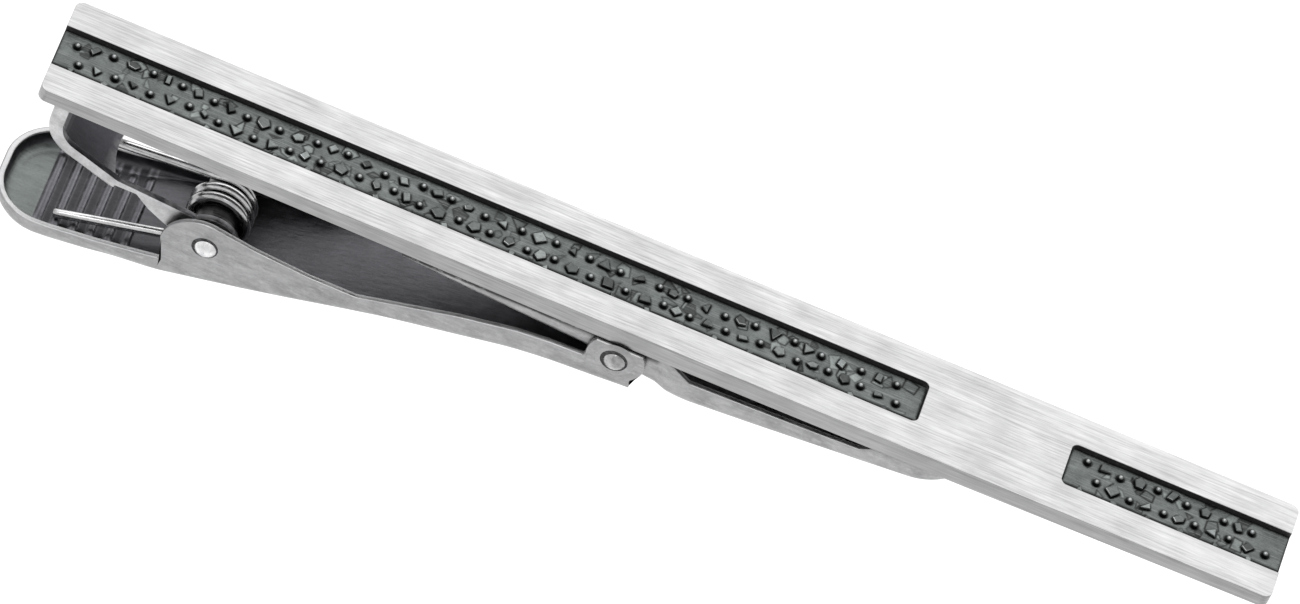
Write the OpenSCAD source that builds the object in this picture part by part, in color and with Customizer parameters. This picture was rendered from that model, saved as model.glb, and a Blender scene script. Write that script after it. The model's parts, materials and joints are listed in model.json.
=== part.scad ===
// Sprung tie clip: a flat front bar with two recessed inlays, and behind it a sprung
// lever with a floating jaw, hung on a bracket that is soldered to the bar.
// X runs along the bar, with the thumb end at -X and the mouth at +X.
// +Z points out of the front face. The origin is the centre of the front face.

/* [Front bar] */
// Length of the bar
bar_l = 58; // [57:0.5:60]
// Width of the bar
bar_w = 5.6; // [5.6:0.1:6.2]
// Thickness of the bar at its middle
bar_t = 1.0; // [0.95:0.01:1.02]
// Thickness of the bar at its two ends
bar_end_t = 0.7; // [0.66:0.01:0.8]
// Radius of the bar's four corners, seen from the front
bar_corner_r = 0.4; // [0.2:0.05:0.8]

/* [Inlays] */
// Width of both recesses
recess_w = 2.4; // [2.2:0.1:2.8]
// Depth of both recesses
recess_d = 0.5; // [0.45:0.01:0.55]
// How far the inlay's surface lies below the front face
inlay_drop = 0.26; // [0.22:0.01:0.36]
// Closed end of the long recess, which is open at the thumb end
long_end_x = 11.85; // [10:0.05:13]
// Closed end of the short recess, which is open at the mouth end
short_end_x = 18.65; // [17.5:0.05:20]
// Radius in the closed ends' corners
recess_corner_r = 0.3; // [0.2:0.05:0.5]
// Radius of each bead
bead_r = 0.15; // [0.12:0.01:0.16]
// Distance from bead to bead along a row
bead_pitch = 1.6; // [1.55:0.05:1.9]
// Height of each flake above the inlay
flake_h = 0.1; // [0.06:0.01:0.16]

/* [Sheet metal] */
// Thickness of the sheet that the lever, bracket and jaw are pressed from
sheet = 0.3; // [0.26:0.01:0.32]
// Outer width of the lever
lever_w = 5.9; // [5.9:0.05:6.1]
// Outer width of the bracket
bracket_w = 4.8; // [4.6:0.05:4.9]
// Outer width of the jaw's tail, which lies inside the lever
tail_w = 5.1; // [4.9:0.05:5.15]
// Outer width of the jaw's tray
tray_w = 5.5; // [5.4:0.05:5.6]

/* [Pivots] */
// X of the lever's pivot
lever_pivot_x = -19.7; // [-19.8:0.05:-19.6]
// Z of the lever's pivot
lever_pivot_z = -5.47; // [-5.5:0.01:-5.44]
// X of the jaw's pivot
jaw_pivot_x = -1.35; // [-1.4:0.05:-1.3]
// Z of the jaw's pivot
jaw_pivot_z = -1.9; // [-1.92:0.01:-1.88]
// Radius of both rivets' shanks
shank_r = 0.45; // [0.4:0.01:0.46]
// Radial running clearance of the piece that turns on a rivet
running_gap = 0.05; // [0.02:0.01:0.09]
// Radius of the rivets' domed heads
head_r = 0.59; // [0.55:0.01:0.65]
// Height of the rivets' domed heads
head_h = 0.26; // [0.2:0.01:0.3]

/* [Spring] */
// Diameter of the spring wire
wire_d = 0.45; // [0.4:0.01:0.46]
// Mean radius of the coil
coil_r = 1.3; // [1.25:0.01:1.32]
// Distance from turn to turn
coil_pitch = 0.6; // [0.56:0.01:0.62]

/* [Thumb cup] */
// Distance from grip rib to grip rib
rib_pitch = 0.8; // [0.76:0.01:0.86]
// Width of a grip rib
rib_w = 0.48; // [0.4:0.01:0.5]
// Height of a grip rib above the cup's floor
rib_h = 0.13; // [0.08:0.01:0.16]

/* [Hidden] */

steel = [0.82, 0.82, 0.83];
worn_steel = [0.62, 0.62, 0.64];
dark_inlay = [0.36, 0.39, 0.38];
spring_steel = [0.75, 0.75, 0.77];

eps = 0.01;
far = 40;
lever_in_w = lever_w - 2 * sheet;
head_y = lever_w / 2;
inlay_z = -inlay_drop;
inlay_t = recess_d - inlay_drop;

// ---------- helpers ----------

// Points of a circular arc, from angle a to angle b in n steps
function arc(cx, cy, r, a, b, n) =
    [for (i = [0:n]) [cx + r * cos(a + (b - a) * i / n), cy + r * sin(a + (b - a) * i / n)]];

// The same points, raised by dz
function raised(points, dz) = [for (p = points) [p[0], p[1] + dz]];

// Height of the bar's back, which bows gently away from the front face
function bar_back(x) = -(bar_t - (bar_t - bar_end_t) * pow(2 * x / bar_l, 2));

// A side outline in X and Z, drawn through the width w
module side(points, w) {
    rotate([90, 0, 0])
        linear_extrude(height = w, center = true)
            polygon(points);
}

// A cylinder along Y
module cross(x, z, r, w) {
    translate([x, 0, z])
        rotate([90, 0, 0])
            cylinder(r = r, h = w, center = true, $fn = 48);
}

// A flat outline in X and Y, drawn through every height of the clip
module plan() {
    translate([0, 0, -far / 2])
        linear_extrude(height = far)
            children();
}

// A rectangle with round corners, from x0 to x1
module round_rect(x0, x1, w, r) {
    translate([x0 + r, -w / 2])
        square([x1 - x0 - 2 * r, w]);
    translate([x0, -w / 2 + r])
        square([x1 - x0, w - 2 * r]);
    for (x = [x0 + r, x1 - r], y = [-w / 2 + r, w / 2 - r])
        translate([x, y])
            circle(r = r, $fn = 48);
}

// ---------- front bar and its solder ----------

bar_steps = 16;
bar_profile = concat(
    [[bar_l / 2, 0], [-bar_l / 2, 0]],
    [for (i = [0:bar_steps]) let (x = bar_l * (i / bar_steps - 0.5)) [x, bar_back(x)]]);

module long_recess_outline() {
    round_rect(-bar_l / 2 - 1, long_end_x, recess_w, recess_corner_r);
}

module short_recess_outline() {
    round_rect(short_end_x, bar_l / 2 + 1, recess_w, recess_corner_r);
}

module bar_outline() {
    round_rect(-bar_l / 2, bar_l / 2, bar_w, bar_corner_r);
}

module front_bar() {
    color(steel)
        difference() {
            intersection() {
                side(bar_profile, bar_w);
                plan() bar_outline();
            }
            translate([0, 0, -recess_d])
                linear_extrude(height = 1) {
                    long_recess_outline();
                    short_recess_outline();
                }
        }
}

foot_x0 = -28.15;
foot_x1 = -22;
foot_z = -0.88;
solder_margin = 0.15;

module bracket_solder() {
    color(worn_steel)
        difference() {
            translate([foot_x0 - solder_margin, -bracket_w / 2 - solder_margin, foot_z])
                cube([foot_x1 - foot_x0 + 2 * solder_margin, bracket_w + 2 * solder_margin, 0.4]);
            side(bar_profile, bar_w + 1);
        }
}

// ---------- inlays ----------

module inlay(x0, x1) {
    color(dark_inlay)
        intersection() {
            translate([0, 0, -recess_d])
                linear_extrude(height = inlay_t)
                    children();
            translate([x0, -bar_w / 2, -bar_t])
                cube([x1 - x0, bar_w, bar_t]);
        }
}

module inlay_long() {
    inlay(-bar_l / 2, long_end_x) long_recess_outline();
}

module inlay_short() {
    inlay(short_end_x, bar_l / 2) short_recess_outline();
}

// Two rows of beads run along each inlay. Every bead strays a little from its even
// spacing, and a flake lies in each gap between two beads of a row.
row_y = [0.62, -0.34];
row_shift = [0, 0.45];
stray_x = 0.22;
stray_y = 0.16;

function bead_points(x0, x1, row, seed) =
    let (n = floor((x1 - x0 - row_shift[row]) / bead_pitch),
         sx = rands(-stray_x, stray_x, n + 1, seed + row),
         sy = rands(-stray_y, stray_y, n + 1, seed + row + 10))
    [for (i = [0:n - 1])
        [x0 + row_shift[row] + (i + 0.5) * bead_pitch + sx[i], row_y[row] + sy[i]]];

function gap_points(beads) =
    [for (i = [0:len(beads) - 2]) (beads[i] + beads[i + 1]) / 2];

module beads(x0, x1, seed) {
    color(dark_inlay)
        for (row = [0, 1], p = bead_points(x0, x1, row, seed))
            translate([p[0], p[1], inlay_z])
                intersection() {
                    sphere(r = bead_r, $fn = 24);
                    cylinder(r = bead_r + eps, h = bead_r + eps, $fn = 24);
                }
}

// A point of the plane, turned round the origin
function turned(p, a) = [p[0] * cos(a) - p[1] * sin(a), p[0] * sin(a) + p[1] * cos(a)];

// One flake: a flat chip with n corners at uneven distances from its middle. The first
// number of size is half its length, and the second is its width as a share of that.
module flake(n, size, turn, seed) {
    reach = rands(0.68, 1, n, seed);
    linear_extrude(height = flake_h)
        polygon([for (k = [0:n - 1])
            let (a = 360 * (k + 0.5) / n)
            turned(size[0] * reach[k] * [cos(a), size[1] * sin(a)], turn)]);
}

flake_length = [0.25, 0.42];
flake_width = [0.45, 1];
flake_stray_y = 0.06;
edge_flake_size = 0.2;
edge_flake_y = -0.97;

module flakes(x0, x1, seed) {
    color(dark_inlay)
        translate([0, 0, inlay_z]) {
            for (row = [0, 1]) {
                gaps = gap_points(bead_points(x0, x1, row, seed));
                corners = rands(3, 5.99, len(gaps), seed + row + 20);
                turns = rands(0, 360, len(gaps), seed + row + 30);
                lengths = rands(flake_length[0], flake_length[1], len(gaps), seed + row + 40);
                widths = rands(flake_width[0], flake_width[1], len(gaps), seed + row + 70);
                strays = rands(-flake_stray_y, flake_stray_y, len(gaps), seed + row + 80);
                for (i = [0:len(gaps) - 1])
                    translate([gaps[i][0], gaps[i][1] + strays[i], 0])
                        flake(floor(corners[i]), [lengths[i], widths[i]], turns[i], seed + row + i);
            }
            edge_n = floor((x1 - x0) / bead_pitch);
            edge_turns = rands(0, 360, edge_n, seed + 50);
            for (i = [0:edge_n - 1])
                translate([x0 + (i + 0.5) * bead_pitch, edge_flake_y, 0])
                    flake(3 + i % 2, [edge_flake_size, 1], edge_turns[i], seed + i + 60);
        }
}

long_seed = 7;
short_seed = 19;
end_margin = 0.1;

module beads_long() { beads(-bar_l / 2 + end_margin, long_end_x - end_margin, long_seed); }
module beads_short() { beads(short_end_x + end_margin, bar_l / 2 - end_margin, short_seed); }
module flakes_long() { flakes(-bar_l / 2 + end_margin, long_end_x - end_margin, long_seed); }
module flakes_short() { flakes(short_end_x + end_margin, bar_l / 2 - end_margin, short_seed); }

// ---------- bracket ----------

// The web comes down from the bar, bends round the bow's centre and runs on at a slope.
// Its flanges stand up from it on the inside of the bend.
bow_x = -26.25;
bow_z = -2.16;
flange_r = 1.2;
web_r = flange_r + 0.7;
web_slope = 21.3;
web_end_x = -24.4;
web_end_chamfer = 0.3;
bow_steps = 10;

// Where a line along the web, at distance r from the bow's centre, reaches x
function web_z(r, x) = bow_z - (r + (x - bow_x) * sin(web_slope)) / cos(web_slope);

// A line down from the foot and round the bow, at distance r from the bow's centre
function bow(r) =
    concat([[bow_x - r, foot_z - sheet / 2]], arc(bow_x, bow_z, r, 180, 270 - web_slope, bow_steps));

function reversed(points) = [for (i = [len(points) - 1:-1:0]) points[i]];

web_outline = concat(
    bow(web_r - sheet),
    [[web_end_x, web_z(web_r - sheet, web_end_x)],
     [web_end_x - web_end_chamfer, web_z(web_r, web_end_x - web_end_chamfer)]],
    reversed(bow(web_r)));

// Each cheek follows the web as its flange, then narrows to an arm down to the pivot.
cheek_outline = concat(
    bow(flange_r),
    [[web_end_x, web_z(flange_r, web_end_x)], [-21.6, -4.4], [-20.6, -4.52],
     [lever_pivot_x, lever_pivot_z], [-20.8, -6.12],
     [-21.8, -5.6], [-22.7, -5.1], [-23.4, -4.5], [web_end_x, -4.5],
     [web_end_x - web_end_chamfer, web_z(web_r, web_end_x - web_end_chamfer)]],
    reversed(bow(web_r)));
bracket_ear_r = 1.3;
// The web's free end is cut back between the arms in a shallow arc.
web_notch_depth = 0.55;
web_notch_half = bracket_w / 2 - sheet;
web_notch_r = (pow(web_notch_half, 2) + pow(web_notch_depth, 2)) / (2 * web_notch_depth);

module web_notch() {
    intersection() {
        translate([web_end_x - web_notch_depth + web_notch_r, 0, -6])
            cylinder(r = web_notch_r, h = 3, $fn = 96);
        translate([bow_x, -web_notch_half, -6])
            cube([4, 2 * web_notch_half, 3]);
    }
}

module bracket() {
    color(worn_steel)
        difference() {
            union() {
                side(web_outline, bracket_w);
                translate([foot_x0, -bracket_w / 2, foot_z - sheet])
                    cube([foot_x1 - foot_x0, bracket_w, sheet]);
                intersection() {
                    union() {
                        side(cheek_outline, bracket_w);
                        cross(lever_pivot_x, lever_pivot_z, bracket_ear_r, bracket_w);
                    }
                    for (s = [-1, 1])
                        translate([-far, s * (bracket_w - sheet) / 2 - sheet / 2, -far])
                            cube([2 * far, sheet, 2 * far]);
                }
            }
            cross(lever_pivot_x, lever_pivot_z, shank_r + running_gap, bracket_w + 1);
            web_notch();
        }
}

// ---------- lever ----------

cup_x0 = -29.45;
cup_corner_r = 2.45;
lever_x1 = -0.33;
// Underside of the lever, from the thumb cup to the jaw end
lever_under = [
    [cup_x0, -9.45], [-26.6, -9.35], [-24.3, -8.98], [-21.4, -8.27], [-17.6, -7.24],
    [-15.5, -6.62], [-13.7, -6.05], [-11.4, -5.36], [-8.3, -4.61], [-5.8, -4.0],
    [-4.2, -3.77], [-1.5, -3.58], [lever_x1, -3.47]];
ear_x = -19.9;
ear_z = -5.9;
ear_r = 1.85;
jaw_ear_r = 1.35;
// Angle above the jaw's pivot at which its ear is cut flat, just clear of the bar
jaw_ear_flat = 36;
// Top edge of the lever's walls, from the jaw end back to the thumb cup
lever_top = concat(
    arc(jaw_pivot_x, jaw_pivot_z, jaw_ear_r, -41, jaw_ear_flat, 8),
    arc(jaw_pivot_x, jaw_pivot_z, jaw_ear_r, 180 - jaw_ear_flat, 195, 6),
    [[-2.75, -2.4], [-4.25, -2.46], [-5.8, -2.65], [-8.4, -3.27],
     [-11.4, -4.22], [-12.8, -4.66], [-15, -4.66], [-17.7, -4.42]],
    arc(ear_x, ear_z, ear_r, 75, 180, 12),
    [[-21.4, -7.27], [-22.3, -7.47], [-24.3, -7.87], [-26.5, -8.2], [cup_x0, -8.42]]);
lever_outline = concat(lever_under, lever_top);
lever_cavity = concat(raised(lever_under, sheet * 1.03), [[2, -3.3], [2, 2], [cup_x0, 2]]);

first_rib_x = -27.08;
rib_count = 6;

function floor_z(x) = lookup(x, raised(lever_under, sheet * 1.03));

module grip_rib(x) {
    side([[x - rib_w / 2, floor_z(x - rib_w / 2) - sheet / 2],
          [x + rib_w / 2, floor_z(x + rib_w / 2) - sheet / 2],
          [x + rib_w / 2 - 0.1, floor_z(x) + rib_h],
          [x - rib_w / 2 + 0.1, floor_z(x) + rib_h]], lever_in_w + sheet);
}

module lever_plan(inset) {
    round_rect(cup_x0 + inset, 10, lever_w - 2 * inset, cup_corner_r - inset);
}

boss_r = 0.9;
boss_h = 0.06;

module lever() {
    color(worn_steel)
        difference() {
            union() {
                difference() {
                    intersection() {
                        side(lever_outline, lever_w);
                        plan() lever_plan(0);
                    }
                    intersection() {
                        side(lever_cavity, lever_w);
                        plan() lever_plan(sheet);
                    }
                }
                intersection() {
                    for (i = [0:rib_count - 1])
                        grip_rib(first_rib_x + i * rib_pitch);
                    plan() lever_plan(sheet / 2);
                }
                for (s = [-1, 1])
                    translate([0, s * (lever_w / 2 - boss_h), 0])
                        cross(jaw_pivot_x, jaw_pivot_z, boss_r, 4 * boss_h);
            }
            cross(lever_pivot_x, lever_pivot_z, shank_r, lever_w + 1);
            cross(jaw_pivot_x, jaw_pivot_z, shank_r, lever_w + 1);
        }
}

// ---------- rivets ----------

dome_r = (pow(head_r, 2) + pow(head_h, 2)) / (2 * head_h);

// A cross rivet with a domed head on each side, whose heads bear at plus and minus y
module rivet(x, z, y) {
    cross(x, z, shank_r, 2 * y);
    for (s = [-1, 1])
        translate([x, s * y, z])
            rotate([-90 * s, 0, 0])
                intersection() {
                    cylinder(r = head_r, h = head_h, $fn = 48);
                    translate([0, 0, head_h - dome_r])
                        sphere(r = dome_r, $fn = 96);
                }
}

module lever_pin() {
    color(steel)
        rivet(lever_pivot_x, lever_pivot_z, head_y);
}

module jaw_rivet() {
    color(steel)
        rivet(jaw_pivot_x, jaw_pivot_z, head_y + boss_h);
}

// ---------- spring sleeve ----------

sleeve_r = 1.0;
sleeve_w = bracket_w - 2 * sheet - 0.1;

module spring_sleeve() {
    color(worn_steel)
        difference() {
            cross(lever_pivot_x, lever_pivot_z, sleeve_r, sleeve_w);
            cross(lever_pivot_x, lever_pivot_z, shank_r + running_gap, sleeve_w + 1);
        }
}

// ---------- torsion spring ----------

// The lower leg runs down to the thumb cup's ribs, and the upper one hooks under the free
// end of the bracket's web. Both keep the coil's drift along Y.
lower_leg_slope = 15;
lower_leg_l = 7.4;
lower_leg_drift = -0.34;
upper_leg_slope = 10.5;
upper_leg_l = 5.6;
upper_leg_drift = 0.38;
full_turns = 2;
coil_start = -90 + lower_leg_slope;
coil_end = 90 + upper_leg_slope + 360 * full_turns;
coil_y0 = -1.3;
coil_step = 22.5;
wire_sides = 8;

function coil_point(a) =
    [lever_pivot_x + coil_r * cos(a), coil_y0 + coil_pitch * (a - coil_start) / 360,
     lever_pivot_z + coil_r * sin(a)];

// The end of a leg that runs down and away from p towards the thumb end
function leg_tip(p, length, slope, drift) =
    p + [-length * cos(slope), drift, -length * sin(slope)];

lower_tip = leg_tip(coil_point(coil_start), lower_leg_l, lower_leg_slope, lower_leg_drift);
upper_tip = leg_tip(coil_point(coil_end), upper_leg_l, upper_leg_slope, upper_leg_drift);
spring_path = concat(
    [lower_tip],
    [for (a = [coil_start:coil_step:coil_end - coil_step / 2]) coil_point(a)],
    [coil_point(coil_end), upper_tip]);

function unit(v) = v / norm(v);

// The ring of points round the path's point i, square to the wire
function wire_ring(path, i) =
    let (ahead = path[min(i + 1, len(path) - 1)],
         behind = path[max(i - 1, 0)],
         along = unit(ahead - behind),
         out = unit(cross_product(along, [0, 1, 0])),
         up = cross_product(out, along))
    [for (k = [0:wire_sides - 1])
        path[i] + wire_d / 2 * (cos(360 * k / wire_sides) * out + sin(360 * k / wire_sides) * up)];

function cross_product(a, b) =
    [a[1] * b[2] - a[2] * b[1], a[2] * b[0] - a[0] * b[2], a[0] * b[1] - a[1] * b[0]];

module wire(path) {
    n = len(path);
    points = [for (i = [0:n - 1]) each wire_ring(path, i)];
    skin = [for (i = [0:n - 2], k = [0:wire_sides - 1])
        [i * wire_sides + k, i * wire_sides + (k + 1) % wire_sides,
         (i + 1) * wire_sides + (k + 1) % wire_sides, (i + 1) * wire_sides + k]];
    start_cap = [for (k = [0:wire_sides - 1]) wire_sides - 1 - k];
    end_cap = [for (k = [0:wire_sides - 1]) (n - 1) * wire_sides + k];
    polyhedron(points = points, faces = concat([start_cap], skin, [end_cap]), convexity = 8);
}

module torsion_spring() {
    color(spring_steel)
        wire(spring_path);
}

// ---------- jaw ----------

tail_x0 = -11.7;
tip_x = 15;
jaw_gap = 0.04;
// Underside of the jaw, from its tail to its tip
jaw_under = [
    [tail_x0, -1.5], [-9, -1.8], [-3, -2.25], [-0.2, -2.72], [2.05, -3.0],
    [5.4, -2.7], [10.3, -2.2], [12.6, -1.95], [tip_x, -1.72]];
jaw_top = concat(
    [[tip_x, bar_back(tip_x) - jaw_gap], [12, bar_back(12) - jaw_gap], [10.5, -1.05],
     [9.95, -1.4], [7.2, -1.54], [2.05, -1.72], [1.2, -1.15], [0, -1.1]],
    [[tail_x0, bar_back(tail_x0) - 0.12]]);
jaw_outline = concat(jaw_under, jaw_top);
jaw_cavity = concat([[tail_x0 - 1, -1.1]], raised(jaw_under, sheet * 1.02), [[tip_x, 1], [tail_x0 - 1, 1]]);
joggle_x0 = 0.5;
joggle_x1 = 1.3;
tip_flat = 0.2;

module jaw_plan(inset) {
    tail_half = tail_w / 2 - inset;
    tray_half = tray_w / 2 - inset;
    difference() {
        round_rect(2 * tail_x0, tip_x - inset, 2 * tray_half, tray_half - tip_flat / 2);
        for (m = [0, 1])
            mirror([0, m, 0])
                polygon([[3 * tail_x0, tail_half], [joggle_x0, tail_half], [joggle_x1, tray_half],
                         [joggle_x1, tray_w], [3 * tail_x0, tray_w]]);
    }
}

module jaw() {
    color(worn_steel)
        difference() {
            intersection() {
                side(jaw_outline, tray_w);
                plan() jaw_plan(0);
            }
            intersection() {
                side(jaw_cavity, tray_w);
                plan() jaw_plan(sheet);
            }
            cross(jaw_pivot_x, jaw_pivot_z, shank_r + running_gap, tray_w + 1);
        }
}

front_bar();
inlay_long();
inlay_short();
beads_long();
beads_short();
flakes_long();
flakes_short();
bracket();
bracket_solder();
lever();
lever_pin();
spring_sleeve();
torsion_spring();
jaw_rivet();
jaw();
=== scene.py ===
"""Looks of a sprung tie clip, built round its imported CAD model.

Shapes are worked out in millimetres, in the model's own frame, and turned into
metres when a mesh is made. X runs along the bar, +Z points out of its front face.
"""

import json
import math

import bmesh
import bpy
import numpy as np
from mathutils import Matrix, Vector


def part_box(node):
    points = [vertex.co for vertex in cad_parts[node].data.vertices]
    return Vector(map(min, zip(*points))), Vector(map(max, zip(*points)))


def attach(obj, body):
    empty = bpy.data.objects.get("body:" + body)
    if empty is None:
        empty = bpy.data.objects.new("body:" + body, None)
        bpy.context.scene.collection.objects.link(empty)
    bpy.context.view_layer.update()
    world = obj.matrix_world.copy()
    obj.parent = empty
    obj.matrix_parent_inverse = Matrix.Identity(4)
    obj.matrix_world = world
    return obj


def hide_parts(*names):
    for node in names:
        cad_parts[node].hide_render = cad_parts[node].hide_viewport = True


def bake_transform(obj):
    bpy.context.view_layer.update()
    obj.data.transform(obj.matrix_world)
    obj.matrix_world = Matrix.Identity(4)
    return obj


MM = 0.001
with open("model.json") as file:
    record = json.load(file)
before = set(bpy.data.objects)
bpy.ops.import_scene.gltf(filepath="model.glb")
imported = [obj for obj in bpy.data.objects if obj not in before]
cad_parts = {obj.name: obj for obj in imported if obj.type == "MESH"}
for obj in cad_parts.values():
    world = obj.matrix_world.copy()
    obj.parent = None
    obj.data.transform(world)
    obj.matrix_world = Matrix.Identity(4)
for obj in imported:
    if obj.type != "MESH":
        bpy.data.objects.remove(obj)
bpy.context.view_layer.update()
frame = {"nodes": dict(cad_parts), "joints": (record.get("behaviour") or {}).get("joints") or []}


def box_mm(node):
    """Lowest and highest corner of a CAD node, in millimetres."""
    low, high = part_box(node)
    return np.array(low) / MM, np.array(high) / MM


PIVOT = {joint["name"]: np.array(joint["pos_m"]) / MM for joint in frame["joints"]}
LEVER_PIVOT = PIVOT["lever_pivot"]
JAW_PIVOT = PIVOT["jaw_pivot"]
BAR_LOW, BAR_HIGH = box_mm("front_bar")
LEVER_LOW, LEVER_HIGH = box_mm("lever")
JAW_LOW, JAW_HIGH = box_mm("jaw")
BRACKET_HALF = box_mm("bracket")[1][1]
SHEET = 0.3

# ---------------------------------------------------------------- meshes


def smoothstep(value):
    """0 below 0, 1 above 1, and an even S between them."""
    value = np.clip(value, 0.0, 1.0)
    return value * value * (3 - 2 * value)


def piece(name, vertices, faces, body, materials, attributes=None, replaces=(), sharp=40):
    """A mesh piece from points in millimetres, riding on a CAD body."""
    mesh = bpy.data.meshes.new(name)
    mesh.from_pydata([tuple(MM * c for c in v) for v in vertices], [], faces)
    for key, values in (attributes or {}).items():
        layer = mesh.attributes.new(key, "FLOAT", "POINT")
        layer.data.foreach_set("value", np.asarray(values, np.float32))
    return finish_piece(name, mesh, body, materials, replaces, sharp)


def finish_piece(name, mesh, body, materials, replaces, sharp):
    """Welds and shades a mesh, puts it in the scene and hides the CAD parts that it replaces."""
    for material in materials:
        mesh.materials.append(material)
    tidy = bmesh.new()
    tidy.from_mesh(mesh)
    bmesh.ops.remove_doubles(tidy, verts=tidy.verts, dist=2e-7)
    bmesh.ops.dissolve_degenerate(tidy, edges=tidy.edges, dist=1e-8)
    bmesh.ops.recalc_face_normals(tidy, faces=tidy.faces)
    for face in tidy.faces:
        face.smooth = True
    tidy.to_mesh(mesh)
    tidy.free()
    mesh.set_sharp_from_angle(angle=math.radians(sharp))
    thing = bpy.data.objects.new(name, mesh)
    bpy.context.scene.collection.objects.link(thing)
    if body:
        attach(thing, body)
    if replaces:
        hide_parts(*replaces)
    return thing


def cad_copy(node):
    """A bmesh of a CAD node, welded, with its flat faces whole again. In metres."""
    work = bmesh.new()
    work.from_mesh(frame["nodes"][node].data)
    bmesh.ops.remove_doubles(work, verts=work.verts, dist=1e-6)
    bmesh.ops.dissolve_limit(
        work, angle_limit=math.radians(0.6), verts=work.verts, edges=work.edges
    )
    return work


def is_sharp(edge, angle=28):
    """Whether an edge folds by more than angle degrees."""
    return len(edge.link_faces) == 2 and edge.calc_face_angle(0) > math.radians(angle)


def bevel(work, edges, width, segments=3):
    """Rounds the edges over width millimetres."""
    bmesh.ops.bevel(
        work,
        geom=list(edges),
        offset=width * MM,
        offset_type="OFFSET",
        segments=segments,
        profile=0.5,
        affect="EDGES",
        clamp_overlap=True,
    )


def from_bmesh(name, work, body, node, materials, sharp=40):
    """A piece from a bmesh in metres that stands for one CAD node."""
    mesh = bpy.data.meshes.new(name)
    work.to_mesh(mesh)
    work.free()
    thing = finish_piece(name, mesh, body, materials, [node], sharp)
    even = thing.modifiers.new("even_normals", "WEIGHTED_NORMAL")
    even.weight = 100
    even.keep_sharp = True


def islands(node):
    """The separate solids of a CAD node, each as an array of its points in millimetres."""
    work = bmesh.new()
    work.from_mesh(frame["nodes"][node].data)
    bmesh.ops.remove_doubles(work, verts=work.verts, dist=1e-6)
    seen, found = set(), []
    for start in work.verts:
        if start in seen:
            continue
        stack, group = [start], []
        seen.add(start)
        while stack:
            vert = stack.pop()
            group.append(np.array(vert.co) / MM)
            for edge in vert.link_edges:
                other = edge.other_vert(vert)
                if other not in seen:
                    seen.add(other)
                    stack.append(other)
        found.append(np.array(group))
    work.free()
    return found


def grid_faces(rows, columns, start=0):
    """Quads of a grid of points that was listed row by row."""
    return [
        (
            start + r * columns + c,
            start + r * columns + c + 1,
            start + (r + 1) * columns + c + 1,
            start + (r + 1) * columns + c,
        )
        for r in range(rows - 1)
        for c in range(columns - 1)
    ]


def ring_faces(rings, sides, start=0):
    """Quads between closed rings of points that were listed one ring after another."""
    faces = []
    for r in range(rings - 1):
        lower, upper = start + r * sides, start + (r + 1) * sides
        for k in range(sides):
            n = (k + 1) % sides
            faces.append((lower + k, lower + n, upper + n, upper + k))
    return faces


def revolve(profile, centre, sides=48):
    """Points and faces of a shape turned round the Y axis through centre, from (radius, y)."""
    points = []
    for radius, y in profile:
        for k in range(sides):
            a = 2 * math.pi * k / sides
            points.append(
                (centre[0] + radius * math.cos(a), y, centre[2] + radius * math.sin(a))
            )
    return points, ring_faces(len(profile), sides)


# ---------------------------------------------------------------- node helpers


def add(tree, kind, inputs=None, **settings):
    """A shader node. An input's value is a number, a colour, or another node's output."""
    made = tree.nodes.new("ShaderNode" + kind)
    for key, value in settings.items():
        setattr(made, key, value)
    for key, value in (inputs or {}).items():
        if isinstance(value, bpy.types.NodeSocket):
            tree.links.new(value, made.inputs[key])
        else:
            made.inputs[key].default_value = value
    return made


def new_material(name):
    material = bpy.data.materials.new(name)
    material.use_nodes = True
    material.node_tree.nodes.clear()
    return material, material.node_tree


def place(tree, stretch, turn=(0, 0, 0)):
    """Object coordinates in millimetres, stretched so that a texture keeps to a direction."""
    where = add(tree, "TexCoord").outputs["Object"]
    scale = [s / MM for s in stretch]
    turned = add(tree, "Mapping", {"Vector": where, "Rotation": turn, "Scale": scale})
    return turned.outputs["Vector"]


def noise(tree, stretch, detail=2.0, rough=0.5, turn=(0, 0, 0)):
    return add(
        tree,
        "TexNoise",
        {"Vector": place(tree, stretch, turn), "Scale": 1.0, "Detail": detail, "Roughness": rough},
    ).outputs["Fac"]


def remap(tree, value, low, high, to_low, to_high):
    return add(
        tree,
        "MapRange",
        {
            "Value": value,
            "From Min": low,
            "From Max": high,
            "To Min": to_low,
            "To Max": to_high,
        },
        clamp=True,
    ).outputs["Result"]


def maths(tree, operation, first, second=0.0):
    return add(tree, "Math", {0: first, 1: second}, operation=operation).outputs[0]


def product(tree, first, *others):
    """All the values multiplied together."""
    for value in others:
        first = maths(tree, "MULTIPLY", first, value)
    return first


def mix(tree, amount, first, second):
    """The first colour, turning into the second as amount goes from 0 to 1."""
    made = add(tree, "Mix", data_type="RGBA")
    for index, value in ((0, amount), (6, first), (7, second)):
        if isinstance(value, bpy.types.NodeSocket):
            tree.links.new(value, made.inputs[index])
        else:
            made.inputs[index].default_value = value
    return made.outputs[2]


def scaled(tree, colour, amount):
    """A colour times a number."""
    return add(tree, "VectorMath", {0: colour, "Scale": amount}, operation="SCALE").outputs[0]


def finish_material(tree, colour, roughness, height=None, bump=0.01, metallic=1.0):
    """The shader and its output. bump is the depth of the fine relief in millimetres."""
    inputs = {"Base Color": colour, "Roughness": roughness, "Metallic": metallic}
    if height is not None:
        inputs["Normal"] = add(
            tree, "Bump", {"Height": height, "Distance": bump * MM, "Strength": 1.0}
        ).outputs["Normal"]
    shader = add(tree, "BsdfPrincipled", inputs)
    tree.links.new(shader.outputs[0], add(tree, "OutputMaterial").inputs["Surface"])


def edge_wear(tree):
    """1 along outer edges, 0 on flats."""
    return remap(tree, add(tree, "NewGeometry").outputs["Pointiness"], 0.52, 0.6, 0.0, 1.0)


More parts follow.
